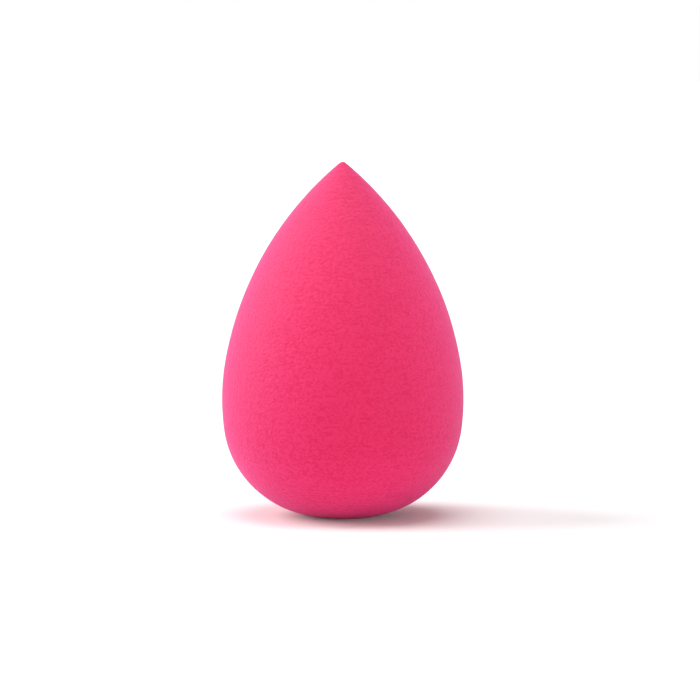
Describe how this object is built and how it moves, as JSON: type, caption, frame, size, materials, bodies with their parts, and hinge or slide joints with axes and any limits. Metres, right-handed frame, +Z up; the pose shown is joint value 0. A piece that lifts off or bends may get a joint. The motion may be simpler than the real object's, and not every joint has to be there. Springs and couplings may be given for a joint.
{
  "type": "makeup sponge",
  "caption": "Teardrop makeup sponge: a solid piece of soft fine-celled foam with a pointed top, a full round belly and a small flat foot that it stands on.",
  "frame": {"origin": "centre of the flat foot, where the sponge stands on a table", "axes": "+Z runs up the axis of revolution through the pointed tip; X and Y are any two level directions, because the body is round"},
  "size_m": [0.041, 0.041, 0.06],
  "materials": {
    "foam": "matte"
  },
  "bodies": {
    "root": {"sponge_body": "foam"}
  },
  "joints": []
}
